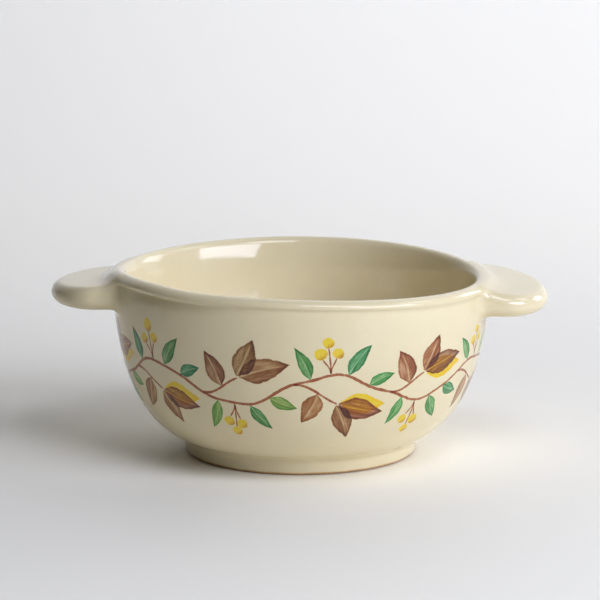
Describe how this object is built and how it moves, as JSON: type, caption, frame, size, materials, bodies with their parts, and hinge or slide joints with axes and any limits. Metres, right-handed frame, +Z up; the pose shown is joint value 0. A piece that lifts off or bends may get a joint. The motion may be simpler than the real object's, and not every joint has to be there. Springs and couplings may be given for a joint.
{
  "type": "onion soup bowl",
  "caption": "Round deep soup bowl of cream-glazed stoneware with a rolled rim, a low foot ring and two flat D-shaped lug handles at the rim.",
  "frame": {"origin": "centre of the bounding box on the table plane, which is the middle of the foot ring's resting face", "axes": "+X along the line of the lug handles towards the right-hand lug as the front is faced, +Y towards the back, +Z up out of the bowl's mouth"},
  "size_m": [0.179, 0.1368, 0.0675],
  "materials": {
    "cream_glaze": "glossy cream glaze over stoneware, with brush decoration under it",
    "fired_slip": "matt fired clay slip"
  },
  "bodies": {
    "root": {"bowl_body": "cream_glaze", "foot_ring": "cream_glaze", "lug_handle_left": "cream_glaze", "lug_handle_right": "cream_glaze", "foot_slip": "fired_slip", "lug_slip_left": "fired_slip", "lug_slip_right": "fired_slip"}
  },
  "joints": []
}
